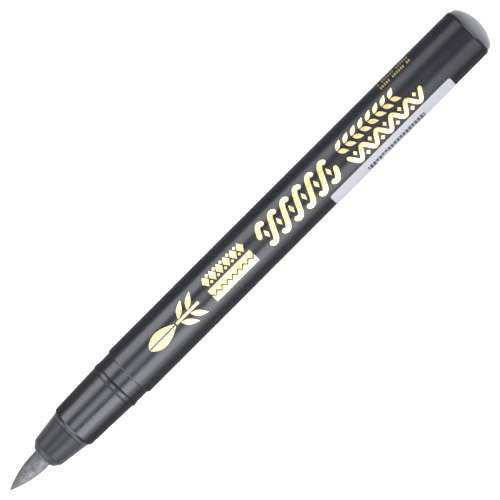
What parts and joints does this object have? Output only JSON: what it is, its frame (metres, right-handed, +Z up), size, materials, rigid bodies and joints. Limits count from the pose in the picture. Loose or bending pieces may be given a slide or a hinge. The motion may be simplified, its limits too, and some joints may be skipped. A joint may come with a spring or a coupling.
{
  "type": "calligraphy marker",
  "caption": "Brush-tip calligraphy marker, uncapped: round glossy barrel, tapered nose, fibre brush nib, press-to-feed valve, mixing ball and domed end plug.",
  "frame": {"origin": "centre of the base of the bounding box: below the middle of the marker's length, on the surface that it lies on", "axes": "+X runs along the marker's axis from the nib to the end plug, +Z is up with the printed side facing up, +Y is across"},
  "size_m": [0.1376, 0.012, 0.012],
  "materials": {
    "body_plastic": "glossy moulded charcoal",
    "nose_plastic": "satin moulded dark grey",
    "plug_plastic": "satin moulded light grey",
    "nib_fibre": "bundled fibre soaked in metallic ink",
    "absorber_fibre": "pressed porous fibre",
    "valve_plastic": "moulded off-white",
    "gasket_rubber": "soft black",
    "spring_steel": "drawn wire",
    "ball_steel": "polished steel",
    "label_paper": "coated label paper",
    "gold_foil": "hot-stamped gold foil"
  },
  "bodies": {
    "marker_body": {"barrel": "body_plastic", "front_section": "body_plastic", "nose_cone": "nose_plastic", "end_plug": "plug_plastic", "ink_absorber": "absorber_fibre", "valve_housing": "valve_plastic", "valve_gasket": "gasket_rubber", "valve_spring": "spring_steel", "spring_retainer": "valve_plastic", "label": "label_paper", "foil_print": "gold_foil"},
    "nib": {"brush_nib": "nib_fibre", "nib_holder": "valve_plastic"},
    "valve": {"valve_rod": "valve_plastic"},
    "ball": {"mixing_ball": "ball_steel"}
  },
  "joints": [
    {"name": "nib_press", "type": "slide", "parent": "marker_body", "child": "nib", "axis": [1, 0, 0], "range_m": [0, 0.002], "stiffness_N_per_m": 1200},
    {"name": "valve_lift", "type": "slide", "parent": "marker_body", "child": "valve", "axis": [1, 0, 0], "range_m": [0, 0.002], "deforming": ["valve_spring"]},
    {"name": "ball_roll", "type": "slide", "parent": "marker_body", "child": "ball", "axis": [1, 0, 0], "range_m": [0, 0.0723]}
  ],
  "couplings": [
    {"joint": "valve_lift", "follows": "nib_press", "ratio": 1}
  ]
}
